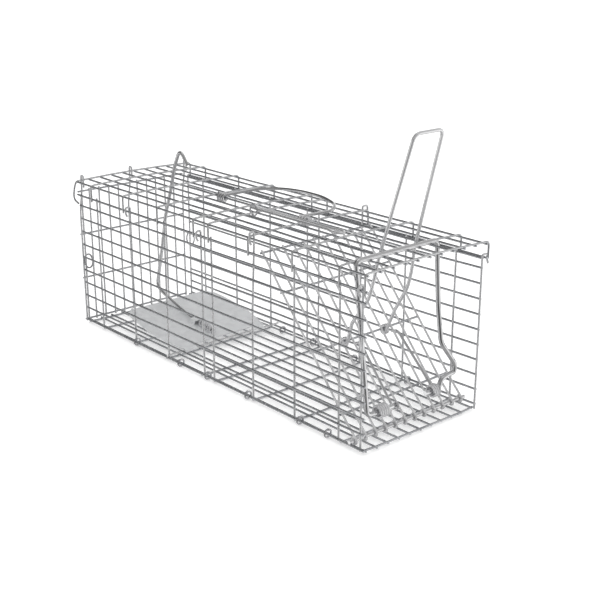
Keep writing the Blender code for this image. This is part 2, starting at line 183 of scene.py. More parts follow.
WELDED = {"smooth": 0.2, "rough": 0.36, "bump": 0.15}
MESH_METAL = plated_wire("mesh_zinc", (0.5, 0.51, 0.53), (0.72, 0.73, 0.75), **WELDED)
# The roof's cross wires, the side and rear uprights and the door's long wires are the same zinc as
# mesh_zinc; these copies are painted lighter, as painted light for how those wires catch it.
LIT_HOOP_METAL = plated_wire("roof_hoop_zinc_painted_light", (0.66, 0.67, 0.69), (0.86, 0.87, 0.88), **WELDED, painted_near_sheen=0.45)
LIT_UPRIGHT_METAL = plated_wire("upright_zinc_painted_light", (0.64, 0.65, 0.66), (0.82, 0.82, 0.83), **WELDED, bare=0.75)
LIT_DOOR_METAL = plated_wire("door_zinc_painted_light", (0.7, 0.7, 0.71), (0.86, 0.86, 0.87), 0.18, 0.32, 0.12, bare=0.6)
ROD_METAL = plated_wire("rod_nickel", (0.84, 0.84, 0.85), (0.94, 0.94, 0.95), 0.06, 0.12, 0.04)
LEVER_METAL = plated_wire("lever_nickel", (0.76, 0.76, 0.77), (0.88, 0.88, 0.89), 0.08, 0.16, 0.05, bare=0.8)
# The trigger rod is the rods' nickel painted darker: painted shade for the shadow on its lower part.
SHADED_TRIGGER_METAL = plated_wire("trigger_nickel_painted_shade", (0.72, 0.72, 0.73), (0.86, 0.86, 0.87), 0.1, 0.2, 0.06)
SPRING_METAL = plated_wire("spring_steel", (0.74, 0.74, 0.76), (0.9, 0.9, 0.91), 0.12, 0.22, 0.06, bare=0.7)
RING_METAL = plated_wire("ring_zinc", (0.66, 0.66, 0.68), (0.84, 0.84, 0.86), 0.16, 0.3, 0.1)
SHEET_METAL = galvanised("treadle_galvanised", (0.77, 0.78, 0.79), (0.85, 0.86, 0.87), 0.3, 0.46, 0.08)


# Shapes


def rounded(corners, radius, steps=8):
    """The corners joined by straight runs, with each inner corner turned smoothly."""
    path = [corners[0]]
    for before, corner, after in zip(corners, corners[1:], corners[2:]):
        shorter = min((before - corner).length, (after - corner).length)
        reach = min(radius, shorter * 0.45)  # less than half, so that neighbouring bends stay apart
        start = corner + (before - corner).normalized() * reach
        end = corner + (after - corner).normalized() * reach
        for step in range(steps + 1):
            share = step / steps
            path.append(start * (1 - share) ** 2 + corner * 2 * share * (1 - share) + end * share**2)
    path.append(corners[-1])
    return path


def turns_about_y(centre, radius, start, end, y_end=None):
    """Points round a Y-directed axis, angles in degrees from +X toward +Z, drifting to y_end along it."""
    steps = max(4, int(abs(end - start) / 360 * TURN_STEPS))
    path = []
    for step in range(steps + 1):
        share = step / steps
        turn = math.radians(start + (end - start) * share)
        y = centre.y if y_end is None else centre.y + (y_end - centre.y) * share
        path.append(Vector((centre.x + radius * math.cos(turn), y, centre.z + radius * math.sin(turn))))
    return path


def wires(name, paths, diameter, body, metal, replaced=(), closed=False, smoothness=WIRE_SMOOTHNESS):
    """Round wire along each path: one piece that rides on a body and stands for the replaced CAD nodes."""
    curve = bpy.data.curves.new(name, "CURVE")
    curve.dimensions = "3D"
    curve.bevel_depth = diameter / 2 * MM
    curve.bevel_resolution = smoothness
    curve.use_fill_caps = not closed
    for path in paths:
        spline = curve.splines.new("POLY")
        spline.points.add(len(path) - 1)
        spline.use_cyclic_u = closed
        spline.use_smooth = True
        for point, place in zip(spline.points, path):
            point.co = (*(place * MM), 1.0)
    curve.materials.append(metal)
    made = bpy.data.objects.new(name, curve)
    bpy.context.scene.collection.objects.link(made)
    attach(made, body)
    if replaced:
        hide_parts(*replaced)


def mesh_wires(name, paths, metal=MESH_METAL, replaced=(), body="cage"):
    wires(name, paths, WIRE, body, metal, replaced)


def rod(name, path, diameter, body, metal, replaced, smoothness=ROD_SMOOTHNESS):
    wires(name, [path], diameter, body, metal, (replaced,), smoothness=smoothness)


def spring(name, path, diameter, body, metal, replaced=(), smoothness=WIRE_SMOOTHNESS):
    wires(name, [path], diameter, body, metal, replaced, smoothness=smoothness)


def bar_ends(middle):
    """Both ends of a straight bar across the cage."""
    return [middle + Vector((0, side * BAR_HALF, 0)) for side in (-1, 1)]


def wavy(start, end, amount=0.22, spacing=25.0):
    """A nearly straight wire between two points, with the slight waviness of welded mesh."""
    count = max(2, int((end - start).length / spacing))
    direction = (end - start).normalized()
    side = direction.cross(UP if abs(direction.z) < 0.9 else Vector((1, 0, 0))).normalized()
    other = direction.cross(side)
    path = []
    for step in range(count + 1):
        share = step / count
        drift = side * random.uniform(-amount, amount)
        drift += other * random.uniform(-amount, amount) * 0.5
        path.append(start.lerp(end, share) + drift)
    return path


def spread(half, count):
    """Evenly spaced places from -half to half."""
    return [half * (2 * index / (count - 1) - 1) for index in range(count)]


# The roof, with its edges folded down over the sides as a skirt one cell high

HOOPS = [station(x) for x in STATIONS]
# How far each sheet's cross wires sit from their even places, rear to front.
ROOF_SHIFTS = (-1.1, -0.8, 0.0, 0.9, 0.9, 3.3, 2.6, 2.8, 1.8, 2.6)
NEAR_SHIFTS = (-0.6, 0.7, 4.1, 4.4, 4.9, 0.9, 1.2, 0.2, -1.7, -3.6)
FAR_SHIFTS = (0.6, 0.5, 0.0, 0.0, 0.0, -2.3, -0.4, -0.4, 1.3, 2.0)
SKIRT_LINE = 63.95  # middle of the skirt's long wire
SKIRT_HOOP = SKIRT_LINE + WELD
SKIRT_Z = ROOF_Z - CELL
ROOF_BEND = 3.4
ROOF_MIDDLES = (-30, 0, 30)
ROOF_WAVE = 0.2
SAGGING, SAG = 8, 1.8  # this cross wire's middle is bent to the rear
BENT_CORNER = 0.8  # the far front corner is bent outward
TAIL_SPREAD = 1.2
# The rearmost cross wire's near end is bowed: each point's place from where it would cross the skirt's wire.
BOWED_END = ((0.6, 1.0, -8.5), (-1.4, -2.2, -4.5), (-1.8, -2.6, 0.5), (-1.0, -1.6, 8.0))


def roof_height(y):
    """The roof's long wires: slightly arched, and lower along the far edge."""
    crown, lean, arch = 0.2, 0.35, 1.45
    share = y / WALL
    return ROOF_Z + crown - lean * share - arch * share**2


def tail_height():
    """Where a cross wire is cut off below the skirt's wire, a little different each time."""
    return SKIRT_Z - TAIL - random.uniform(0, TAIL_SPREAD)


def roof_near_end(index, x):
    """The near end of a roof cross wire, from its tip up to the roof's edge."""
    corner = Vector((x, -SKIRT_HOOP, roof_height(-WALL) + WELD))
    if index > 0:
        return [Vector((x, -SKIRT_HOOP, tail_height())), corner]
    crossing = Vector((x, -SKIRT_HOOP, SKIRT_Z))
    return [crossing + Vector(offset) for offset in BOWED_END] + [corner]


def roof_cross_wire(index, x):
    is_front = index == FRONTMOST
    middle = x - (SAG if index == SAGGING else 0.0)
    bent = BENT_CORNER if is_front else 0.0
    path = roof_near_end(index, x)
    for y in ROOF_MIDDLES:
        path.append(Vector((middle + random.uniform(-ROOF_WAVE, ROOF_WAVE), y, roof_height(y) + WELD)))
    path.append(Vector((x + bent, SKIRT_HOOP + bent, roof_height(WALL) + WELD)))
    low = tail_height() + (TAIL_SPREAD if is_front else 0.0)
    path.append(Vector((x + bent, SKIRT_HOOP + bent, low)))
    return rounded(path, ROOF_BEND)


def build_roof():
    first = HOOPS[0] + ROOF_SHIFTS[0] - TAIL
    last = HOOPS[-1] + ROOF_SHIFTS[-1] + TAIL
    places = [(y, roof_height(y)) for y in spread(WALL, WIDTH + 1)]
    places += [(-SKIRT_LINE, SKIRT_Z), (SKIRT_LINE, SKIRT_Z)]
    lines = [wavy(Vector((first, y, z)), Vector((last, y, z))) for y, z in places]
    mesh_wires("roof_long_wires", lines, replaced=("roof_sheet",))
    hoops = []
    for index, (even, shift) in enumerate(zip(HOOPS, ROOF_SHIFTS)):
        hoops.append(roof_cross_wire(index, even + shift))
    mesh_wires("roof_cross_wires", hoops, LIT_HOOP_METAL)


# The sides

SIDES = (("near", -1, NEAR_SHIFTS), ("far", 1, FAR_SHIFTS))
SIDE_LINE = 62.4  # middle of the side panels' long wires, whose cross wires lie inside
SIDE_HOOP = SIDE_LINE - WELD
SIDE_WAVE = 0.18
TOP_ROW = 10
TOP_ROW_DROP = 0.9  # the top row lies beside the skirt's wire, a little lower
FRONT_X = 190.0
NEAR_ROW_0, NEAR_PITCH = 4.0, 12.65
NEAR_FAN, NEAR_FAN_STEP = 0.4, 0.08
FAR_ROW_0, FAR_PITCH = 4.3, 12.68
FAR_RISE, FAR_RISE_FROM = 1.4, 120.0
UPRIGHT_LOW = ROW_0 - 2.2
UPRIGHT_TOP = SKIRT_Z + 1.0
UPRIGHT_WAVE = 0.3
# Which side wires end in a hook over the skirt's wire and which one over the roof's edge, how far the hooks
# rise above the wire they go over, and how far along the last one stands from the roof's cross wire.
SKIRT_HOOKS = {"near": {2, 4, 9}, "far": {9}}
ROOF_HOOK = 6
SKIRT_HOOK_RISE = {"near": 3.4, "far": 2.6}
ROOF_HOOK_RISE = 5.0
BESIDE_ROOF_WIRE = {"near": 2.1, "far": -2.4}
HOOK_REACH = 2.1  # from the skirt's wire to the middle of the hook's outer leg
HOOK_FLARE = 0.6
HOOK_BEND = 1.9


def hook_over(x, sign, height, rise):
    """The top of a side wire, turned outward over the wire at this height and down again, its tip flared."""
    inner = sign * SIDE_HOOP
    outer = sign * (SKIRT_LINE + HOOK_REACH)
    return [
        Vector((x, inner, height - 3.0)),
        Vector((x, inner, height + rise)),
        Vector((x + 0.6, outer, height + rise)),
        Vector((x + 0.9, outer, height - 2.6)),
        Vector((x + 2.2, outer - sign * HOOK_FLARE, height - 4.6)),
    ]


def side_row_z(sign, row, x):
    """Height of a side's long wires: they spread a little toward the door. The top one lies by the skirt."""
    if row == TOP_ROW:
        return SKIRT_Z - TOP_ROW_DROP
    if sign < 0:
        share = max(0.0, x) / FRONT_X
        return NEAR_ROW_0 + NEAR_PITCH * row + share * (NEAR_FAN + NEAR_FAN_STEP * row)
    share = max(0.0, x - FAR_RISE_FROM) / (FRONT_X - FAR_RISE_FROM)
    return FAR_ROW_0 + FAR_PITCH * row + share * FAR_RISE


def side_long_wire(sign, row):
    first = Vector((HOOPS[0] - TAIL, sign * SIDE_LINE, 0))
    last = Vector((HOOPS[-1] + TAIL, sign * SIDE_LINE, 0))
    return [point + UP * side_row_z(sign, row, point.x) for point in wavy(first, last, SIDE_WAVE)]


def side_upright(label, sign, index, x):
    """A side's cross wire, ending just above the top row or in a hook."""
    y = sign * SIDE_HOOP
    leg = [Vector((x, y, UPRIGHT_LOW))]
    leg.append(Vector((x + random.uniform(-UPRIGHT_WAVE, UPRIGHT_WAVE), y, ROOF_Z / 2)))
    if index in SKIRT_HOOKS[label]:
        return rounded(leg + hook_over(x, sign, SKIRT_Z, SKIRT_HOOK_RISE[label]), HOOK_BEND)
    if index == ROOF_HOOK:
        beside = HOOPS[index] + ROOF_SHIFTS[index] + BESIDE_ROOF_WIRE[label]
        return rounded(leg + hook_over(beside, sign, roof_height(sign * WALL), ROOF_HOOK_RISE), HOOK_BEND)
    return leg + [Vector((x, y, UPRIGHT_TOP))]


def build_sides():
    for label, sign, shifts in SIDES:
        rows = [side_long_wire(sign, row) for row in range(TOP_ROW + 1)]
        mesh_wires(f"{label}_side_long_wires", rows, replaced=(f"{label}_side_panel",))
        uprights = []
        for index, (even, shift) in enumerate(zip(HOOPS, shifts)):
            uprights.append(side_upright(label, sign, index, even + shift))
        mesh_wires(f"{label}_side_uprights", uprights, LIT_UPRIGHT_METAL)


# The floor

FLOOR_HALF = 59.3
FLOOR_LINES = spread(FLOOR_HALF, WIDTH + 1)
FLOOR_LONG_Z = 2.35
FLOOR_EDGE_Z = 3.0  # the outermost long wires are lifted, so that the hog rings can pass under them
FLOOR_TAIL = TAIL * 0.6
FLOOR_SIDE_TAIL = 1.6
FLOOR_TAIL_LIFT = 0.3
FLOOR_WAVE = 0.2
FRONT_LIFT = (2.4, 1.4)  # the frontmost cross wire stands higher, at the near and at the far side


def build_floor():
    first, last = HOOPS[0] - FLOOR_TAIL, HOOPS[-1] + FLOOR_TAIL
    lines = []
    for y in FLOOR_LINES:
        z = FLOOR_EDGE_Z if abs(y) > FLOOR_HALF - 1 else FLOOR_LONG_Z
        middle = Vector((0, y + random.uniform(-FLOOR_WAVE, FLOOR_WAVE), z))
        lines.append([Vector((first, y, z)), middle, Vector((last, y, z))])
    mesh_wires("floor_long_wires", lines, replaced=("floor_sheet",))
    edge = FLOOR_EDGE_Z - WELD
    end = (FLOOR_HALF + FLOOR_SIDE_TAIL, edge + FLOOR_TAIL_LIFT)
    profile = (end, (FLOOR_HALF, edge), (FLOOR_LINES[-2], WIRE / 2))  # from the cut end inward
    cross = []
    for index, x in enumerate(HOOPS):
        near_lift, far_lift = FRONT_LIFT if index == FRONTMOST else (0.0, 0.0)
        path = [Vector((x, -y, z + near_lift)) for y, z in profile]
        path += [Vector((x, y, z + far_lift)) for y, z in reversed(profile)]
        cross.append(path)
    mesh_wires("floor_cross_wires", cross)


# The rear panel

REAR_X = -192.3
REAR_HALF = 59.1
REAR_WIRES = 12
REAR_SLIDE = 3.6  # the panel hangs a little toward the near side
REAR_LOW, REAR_TOP = 2.6, 133.0
REAR_ROWS = (3.9, 45.9, 89.2, 130.7)
REAR_ROW_ENDS = (-REAR_HALF - 4.4, REAR_HALF - 2.4)
REAR_WAVE = 0.15
# Some uprights go over the roof's rear wire from behind, as a narrow loop.
REAR_HOOKS = {0, 5, 11}
REAR_HOOK_RISE = WELD + 4.0
REAR_HOOK_HALF = 1.95
REAR_HOOK_DROP = 11.0
REAR_HOOK_BEND = 1.7
REAR_LEAN_FROM, REAR_LEAN_TO = 112.0, 131.0  # heights between which they lean over to the roof's rear wire


def rear_hooked(low, y):
    """An upright that starts at this low point and is hooked over the roof's rear wire at y."""
    crown = roof_height(y) + REAR_HOOK_RISE
    rear_wire = HOOPS[0] + ROOF_SHIFTS[0]
    behind, before = rear_wire - REAR_HOOK_HALF, rear_wire + REAR_HOOK_HALF
    corners = [low, Vector((REAR_X, low.y, REAR_LEAN_FROM)), Vector((behind, y, REAR_LEAN_TO))]
    corners += [Vector((behind, y, crown)), Vector((before, y, crown))]
    corners.append(Vector((before, y, crown - REAR_HOOK_DROP)))
    return rounded(corners, REAR_HOOK_BEND)


def build_rear():
    uprights = []
    for index, y in enumerate(spread(REAR_HALF, REAR_WIRES)):
        low = Vector((REAR_X, y - REAR_SLIDE, REAR_LOW))
        if index in REAR_HOOKS:
            uprights.append(rear_hooked(low, y))
        else:
            uprights.append(wavy(low, Vector((REAR_X, y - REAR_SLIDE, REAR_TOP)), REAR_WAVE))
    mesh_wires("rear_uprights", uprights, LIT_UPRIGHT_METAL, ("rear_panel",))
    rows = []
    for z in REAR_ROWS:
        start, end = [Vector((REAR_X - WELD, y, z)) for y in REAR_ROW_ENDS]
        rows.append(wavy(start, end, REAR_WAVE))
    mesh_wires("rear_cross_wires", rows)


# The rings

LATCH_PIVOT = Vector((8.9, -15.0, 146.1))
NEAR_RINGS = (6.5, 11.9, 15.0, 19.3, 24.4, 26.9)  # cells from the rear
FAR_RINGS = (6.6, 11.6, 15.0, 19.3, 24.4, 26.9)
RING_WIRE = 1.6
FLOOR_RING_Y, FLOOR_RING_Z, FLOOR_RING_RADIUS = 60.5, 3.95, 3.1
REAR_RING_X, REAR_RING_Y, REAR_RING_RADIUS = -189.8, 60.1, 5.0
REAR_RING_SLIDE = 1.6
REAR_RING_Z = ROW_0 + 4.5 * CELL + 1.0
REAR_RING_ACROSS = Vector((0.6, 0.68, 0)) * 0.85
REAR_RING_STRETCH = 1.35  # it is an upright oval
CLIP_RADIUS, CLIP_Z, CLIP_WIRE = 4.8, 143.95, 1.5


def hog_ring(centre, radius, first, second, tilt):
    """A ring closed with pliers: just over one turn, its ends lying side by side."""
    steps, sweep, overlap = 30, 395, 0.9
    normal = first.cross(second)
    path = []
    for step in range(steps + 1):
        share = step / steps
        turn = math.radians(tilt + sweep * share)
        drift = normal * overlap * (share - 0.5)
        path.append(centre + (first * math.cos(turn) + second * math.sin(turn)) * radius + drift)
    return path


def ring(name, path, replaced, diameter=RING_WIRE):
    wires(name, [path], diameter, "cage", RING_METAL, (replaced,))


def build_rings():
    along_x, along_y = Vector((1, 0, 0)), Vector((0, 1, 0))
    for label, sign, places in (("near", -1, NEAR_RINGS), ("far", 1, FAR_RINGS)):
        for number, x in enumerate(places, 1):
            centre = Vector((station(x), sign * FLOOR_RING_Y, FLOOR_RING_Z))
            name = f"{label}_floor_ring_{number}"
            tilt = 60 + 25 * (number % 3)
            ring(f"{name}_wire", hog_ring(centre, FLOOR_RING_RADIUS, along_y, UP, tilt), name)
        centre = Vector((REAR_RING_X, sign * REAR_RING_Y + REAR_RING_SLIDE, REAR_RING_Z))
        path = hog_ring(centre, REAR_RING_RADIUS, REAR_RING_ACROSS, UP * REAR_RING_STRETCH, 30)
        ring(f"{label}_rear_ring_wire", path, f"{label}_rear_ring")
    centre = Vector((LATCH_PIVOT.x, LATCH_PIVOT.y, CLIP_Z))
    ring("roof_clip_wire", hog_ring(centre, CLIP_RADIUS, along_x, UP, 70), "roof_clip_ring", CLIP_WIRE)


# The door

DOOR_HINGE = Vector((178.4, 0.0, 7.3))
DOOR_LEAN = math.radians(49.0)  # up from the floor, toward the rear
DOOR_NEAR, DOOR_FAR = -59.2, 58.7
DOOR_WIRES = 12
DOOR_ROWS = (1.7, 5.8, 9.9, 12.7)  # cells up the door from its hinge
# How far up the door a long wire wavers a little, starts to turn in, and meets its knuckle.
DOOR_MIDDLE, DOOR_LOW, DOOR_FOOT = 80, 20, 6
DOOR_WAVE = 0.25
DOOR_ROW_WAVE = 0.15
DOOR_ROW_CLIMB, DOOR_ROW_TURN = 1.4, 0.6  # how far the cross wires' far ends stand up and forward
KNUCKLE_RADIUS = 2.65
KNUCKLE_ENTRY = 2.4  # how far in front of the hinge the wires run into their knuckles
KNUCKLE_TURN = (-85, -380)  # degrees from the door's direction, where they start and end
KNUCKLE_DRIFT = 1.2
HINGE_BAR = 3.0


def door_point(along, y, front=0.0):
    """The point this far up the door from its hinge and this far in front of it."""
    up = Vector((-math.cos(DOOR_LEAN), 0, math.sin(DOOR_LEAN)))
    out = Vector((math.sin(DOOR_LEAN), 0, math.cos(DOOR_LEAN)))
    return DOOR_HINGE + up * along + out * front + Vector((0, y, 0))


def door_long_wire(y):
    """A wire down the front of the door, with its lower end rolled round the hinge bar as a knuckle."""
    upright = 180 - math.degrees(DOOR_LEAN)
    start, end = [upright + turn for turn in KNUCKLE_TURN]
    path = [door_point(DOOR_ROWS[-1] * CELL + TAIL, y, WELD)]
    path.append(door_point(DOOR_MIDDLE, y + random.uniform(-DOOR_WAVE, DOOR_WAVE), WELD))
    path += [door_point(DOOR_LOW, y, WELD), door_point(DOOR_FOOT, y, KNUCKLE_ENTRY)]
    centre = DOOR_HINGE + Vector((0, y, 0))
    return path + turns_about_y(centre, KNUCKLE_RADIUS, start, end, y + KNUCKLE_DRIFT)


def build_door():
    step = (DOOR_FAR - DOOR_NEAR) / (DOOR_WIRES - 1)
    long_wires = [door_long_wire(DOOR_NEAR + step * index) for index in range(DOOR_WIRES)]
    mesh_wires("door_long_wires", long_wires, LIT_DOOR_METAL, ("door_grid",), "door")
    cross = []
    for row in DOOR_ROWS:
        start = door_point(row * CELL, DOOR_NEAR - WIRE / 2)
        end = door_point(row * CELL + DOOR_ROW_CLIMB, DOOR_FAR + WIRE / 2, DOOR_ROW_TURN)
        cross.append(wavy(start, end, DOOR_ROW_WAVE))
    mesh_wires("door_cross_wires", cross, body="door")
    rod("door_hinge_rod", bar_ends(DOOR_HINGE), HINGE_BAR, "cage", ROD_METAL, "door_hinge_bar")


# The setting lever, a tall U that runs down through the roof and hooks round the door's second cross wire

# Down one leg, in cells: from the rear, half the U's width, up.
LEVER_LEG = (
    (29.84, 1.17, 17.95),
    (27.62, 1.5, 10.4),
    (27.4, 1.62, 9.1),
    (27.05, 1.65, 7.8),
    (25.85, 1.85, 6.0),
)
# Each leg's side, how many degrees it winds round the door's wire, from where, and how far it drifts.
LEVER_HOOKS = ((-1, 300, -24.2, 2.0), (1, 640, 18.6, 4.0))
LEVER_HOOK_RADIUS = 2.8
LEVER_WIRE = 2.8
LEVER_BEND = 6.0


def tangent_turn(centre, start, radius, sweep, drift):
    """Turns round a Y-directed wire, entered along the straight line from the start point."""
    gap = start - Vector((centre.x, start.y, centre.z))
    heading = math.degrees(math.atan2(gap.z, gap.x))
    touch = heading - math.degrees(math.acos(radius / math.hypot(gap.x, gap.z)))
    return turns_about_y(centre, radius, touch, touch - sweep, centre.y + drift)


def build_lever():
    wire = door_point(DOOR_ROWS[1] * CELL, 0)
    legs = []
    for sign, sweep, y, drift in LEVER_HOOKS:
        leg = [at(x, WIDTH / 2 + sign * half, z) for x, half, z in LEVER_LEG]
        hook = tangent_turn(Vector((wire.x, y, wire.z)), leg[-1], LEVER_HOOK_RADIUS, sweep, drift)
        legs.append((leg, hook))
    (near, near_hook), (far, far_hook) = legs
    path = near_hook[::-1] + rounded(near[::-1] + far, LEVER_BEND, ROD_BEND_STEPS) + far_hook
    rod("setting_lever_rod", path, LEVER_WIRE, "lever", LEVER_METAL, "setting_lever")


# The bail and its springs

COIL_AXIS = Vector((177.8, 0.0, 23.0))
BAIL_WIRE = 4.0
BAIL_BEND = 4.4
BAIL_X = station(28.58)
BAIL_TOP = ROOF_Z + 3.1
BAIL_NEAR_Y, BAIL_FAR_Y = -54.6, 30.9
COIL_RADIUS, COIL_PITCH, COIL_WIRE = 4.6, 2.2, 1.85
COILS = (("near", -35.5, 5), ("far", 24.0, 3))  # label, start and number of turns
ARMS = (("near", -15.5, -12.2), ("far", 31.6, 29.4))  # label, place on the pin and place on the door
ARM_EYE = 3.3
ARM_EYE_SWEEP = 250
ARM_WIRE = 2.2
ARM_BEND = 2.6
ARM_REACH = DOOR_ROWS[1] * CELL - 2.5  # just below the door's second cross wire
ARM_SHOULDER = 3.0
ARM_FINGER = -3.2


def build_bail():
    """The thick frame, from its near pin up over the roof and down to its far pin."""
    corners = [
        COIL_AXIS + Vector((0, -13.2, 0)),
        COIL_AXIS + Vector((0, -45.5, 0)),
        Vector((BAIL_X, BAIL_NEAR_Y, BAIL_TOP)),
        Vector((BAIL_X, BAIL_FAR_Y, BAIL_TOP)),
        at(28.4, 8.0, 6.6),
        at(28.7, 8.05, 4.3),
        at(29.1, 9.0, 2.75),
        at(29.05, 9.0, 2.2),
        COIL_AXIS + Vector((0, 45.5, 9.0)),
        COIL_AXIS + Vector((0, 36.0, 7.0)),
        COIL_AXIS + Vector((0, 34.0, 0)),
        COIL_AXIS + Vector((0, 18.0, 0)),
    ]
    path = rounded(corners, BAIL_BEND, ROD_BEND_STEPS)
    rod("spring_bail_rod", path, BAIL_WIRE, "cage", ROD_METAL, "spring_bail")


def spring_arm(eye_y, tip_y):
    """An eye round the pin, a straight run to the door and a finger bent in through its mesh."""
    shoulder = door_point(ARM_REACH - ARM_BEND, tip_y, ARM_SHOULDER)
    gap = shoulder - COIL_AXIS
    heading = math.degrees(math.atan2(gap.z, gap.x))
    touch = heading + math.degrees(math.acos(ARM_EYE / math.hypot(gap.x, gap.z)))
    path = turns_about_y(COIL_AXIS + Vector((0, eye_y, 0)), ARM_EYE, touch + ARM_EYE_SWEEP, touch)
    corners = [path[-1].lerp(shoulder, 0.02), shoulder, door_point(ARM_REACH, tip_y, ARM_FINGER)]
    return path + rounded(corners, ARM_BEND)


def build_springs():
    for label, start, turns in COILS:
        centre = COIL_AXIS + Vector((0, start, 0))
        path = turns_about_y(centre, COIL_RADIUS, 0, 360 * turns, start + COIL_PITCH * turns)
        name = f"{label}_spring_coil"
        spring(f"{name}_wire", path, COIL_WIRE, "cage", SPRING_METAL, (name,))
    for label, eye_y, tip_y in ARMS:
        name = f"{label}_spring_arm"
        path = spring_arm(eye_y, tip_y)
        spring(f"{name}_wire", path, ARM_WIRE, "spring_arms", ROD_METAL, (name,), SPRING_SMOOTHNESS)


# The treadle and its trigger rod

TREADLE_HINGE = Vector((-54.6, 0.0, 6.8))
TREADLE_TILT = math.radians(8.0)
TREADLE_BAR = 2.0
TRIGGER_Y = -5.1
TRIGGER_WIRE = 3.3
TRIGGER_BEND = 8.0
# Along the plate, then up to the hook above the roof.
TRIGGER_ON_PLATE = ((10, 3.85), (42, 3.85), (66, 6.0), (80, 8.5))  # back from the hinge, above the plate
TRIGGER_CELLS = (  # from the rear, up
    (2.8, 2.35),
    (3.4, 4.4),
    (3.95, 6.55),
    (4.3, 8.15),
    (5.1, 10.22),
    (5.75, 12.2),
    (6.45, 13.5),
    (7.3, 12.5),
)
SLEEVE_START, SLEEVE_LENGTH, SLEEVE_TURNS = 12, 18, 6
SLEEVE_RADIUS, SLEEVE_HEIGHT, SLEEVE_WIRE = 2.6, 4.9, 1.7
SLEEVE_STEPS = 12  # points in a full turn


def plate_point(back, y, height):
    """The point this far back from the treadle's hinge and this high above its plate."""
    rearward = Vector((-math.cos(TREADLE_TILT), 0, math.sin(TREADLE_TILT)))
    up = Vector((math.sin(TREADLE_TILT), 0, math.cos(TREADLE_TILT)))
    return TREADLE_HINGE + rearward * back + up * height + Vector((0, y, 0))


def sleeve_coil():
    """The coil round the trigger rod's lower end."""
    count = SLEEVE_STEPS * SLEEVE_TURNS
    path = []
    for step in range(count + 1):
        turn = 2 * math.pi * step / SLEEVE_STEPS
        y = TRIGGER_Y + SLEEVE_RADIUS * math.sin(turn)
        height = SLEEVE_HEIGHT + SLEEVE_RADIUS * math.cos(turn)
        path.append(plate_point(SLEEVE_START + SLEEVE_LENGTH * step / count, y, height))
    return path


def build_trigger():
    spring("trigger_rod_sleeve", sleeve_coil(), SLEEVE_WIRE, "treadle", SPRING_METAL)
    corners = [plate_point(back, TRIGGER_Y, height) for back, height in TRIGGER_ON_PLATE]
    for x, z in TRIGGER_CELLS:
        point = at(x, 0, z)
        corners.append(Vector((point.x, TRIGGER_Y, point.z)))
    path = rounded(corners, TRIGGER_BEND, ROD_BEND_STEPS)
    rod("trigger_rod_wire", path, TRIGGER_WIRE, "treadle", SHADED_TRIGGER_METAL, "trigger_rod", WIRE_SMOOTHNESS)
    ends = bar_ends(TREADLE_HINGE)
    rod("treadle_hinge_rod", ends, TREADLE_BAR, "cage", ROD_METAL, "treadle_hinge_wire", WIRE_SMOOTHNESS)


def cover_plate():
    """The treadle's plate keeps its CAD mesh, with this sheet metal on it."""
    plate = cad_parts["treadle_plate"]
    plate.data.materials.clear()
    plate.data.materials.append(SHEET_METAL)


# The roof's fittings

LATCH_LENGTH = 109.0
LATCH_WIRE = 2.1
LATCH_HALF = 1.9
LATCH_TIP_LIFT = 0.4
LATCH_EYE = ((16, LATCH_HALF), (9, 4.0), (3, 3.4), (0, 1.2))  # back from the tip, half the width
# The bow, in cells: from the rear, and out from the roof's middle wire.
HANDLE_BOW = (
    (11.16, 0.0),
    (11.74, 0.92),
    (12.29, 1.92),
    (13.89, 2.87),
    (15.69, 3.22),
    (17.8, 3.2),
    (19.45, 2.7),
    (20.2, 1.85),
    (19.04, 0.0),
)
HANDLE_PIVOT = Vector((0, 0, ROOF_Z))
HANDLE_LEAN = math.radians(10.0)
HANDLE_OUT = Vector((0, math.cos(HANDLE_LEAN), math.sin(HANDLE_LEAN)))
HANDLE_ABOVE = Vector((0, -math.sin(HANDLE_LEAN), math.cos(HANDLE_LEAN)))
HANDLE_RADIUS, HANDLE_PITCH, HANDLE_TURNS = 2.9, 3.25, 3
HANDLE_WIRE = 2.8
HANDLE_BEND = 16.0


def build_latch():
    """The doubled wire: both ends at the ring, with a small eye at the tip."""
    tip = LATCH_PIVOT.x + LATCH_LENGTH
    high = LATCH_PIVOT.z + LATCH_TIP_LIFT
    corners = [LATCH_PIVOT + Vector((0, side * LATCH_HALF, 0)) for side in (-1, 1)]
    corners += [Vector((tip - back, LATCH_PIVOT.y + half, high)) for back, half in LATCH_EYE]
    corners += [Vector((tip - back, LATCH_PIVOT.y - half, high)) for back, half in reversed(LATCH_EYE)]
    wires(
        "latch_arm_wire",
        [corners],
        LATCH_WIRE,
        "latch",
        LEVER_METAL,
        ("latch_arm",),
        closed=True,
        smoothness=SPRING_SMOOTHNESS,
    )


def handle_coil(x, direction):
    """Turns round the roof's middle wire, from this place away from the bow."""
    count = TURN_STEPS * HANDLE_TURNS
    path = []
    for step in range(count + 1):
        turn = 2 * math.pi * HANDLE_TURNS * step / count
        along = Vector((x + direction * HANDLE_PITCH * HANDLE_TURNS * step / count, 0, 0))
        round_wire = (HANDLE_ABOVE * math.cos(turn) - HANDLE_OUT * math.sin(turn)) * HANDLE_RADIUS
        path.append(HANDLE_PIVOT + along + round_wire)
    return path


def build_handle():
    rear = handle_coil(station(HANDLE_BOW[0][0]), -1)
    front = handle_coil(station(HANDLE_BOW[-1][0]), 1)
    bow = []
    for x, reach in HANDLE_BOW[1:-1]:
        along = Vector((station(x), 0, 0))
        bow.append(HANDLE_PIVOT + along + HANDLE_OUT * reach * CELL + HANDLE_ABOVE * HANDLE_RADIUS)
    bow = rounded([rear[0], *bow, front[0]], HANDLE_BEND, ROD_BEND_STEPS)
    path = rear[::-1] + bow[1:-1] + front
    rod("carry_handle_rod", path, HANDLE_WIRE, "handle", ROD_METAL, "carry_handle")


# Stage

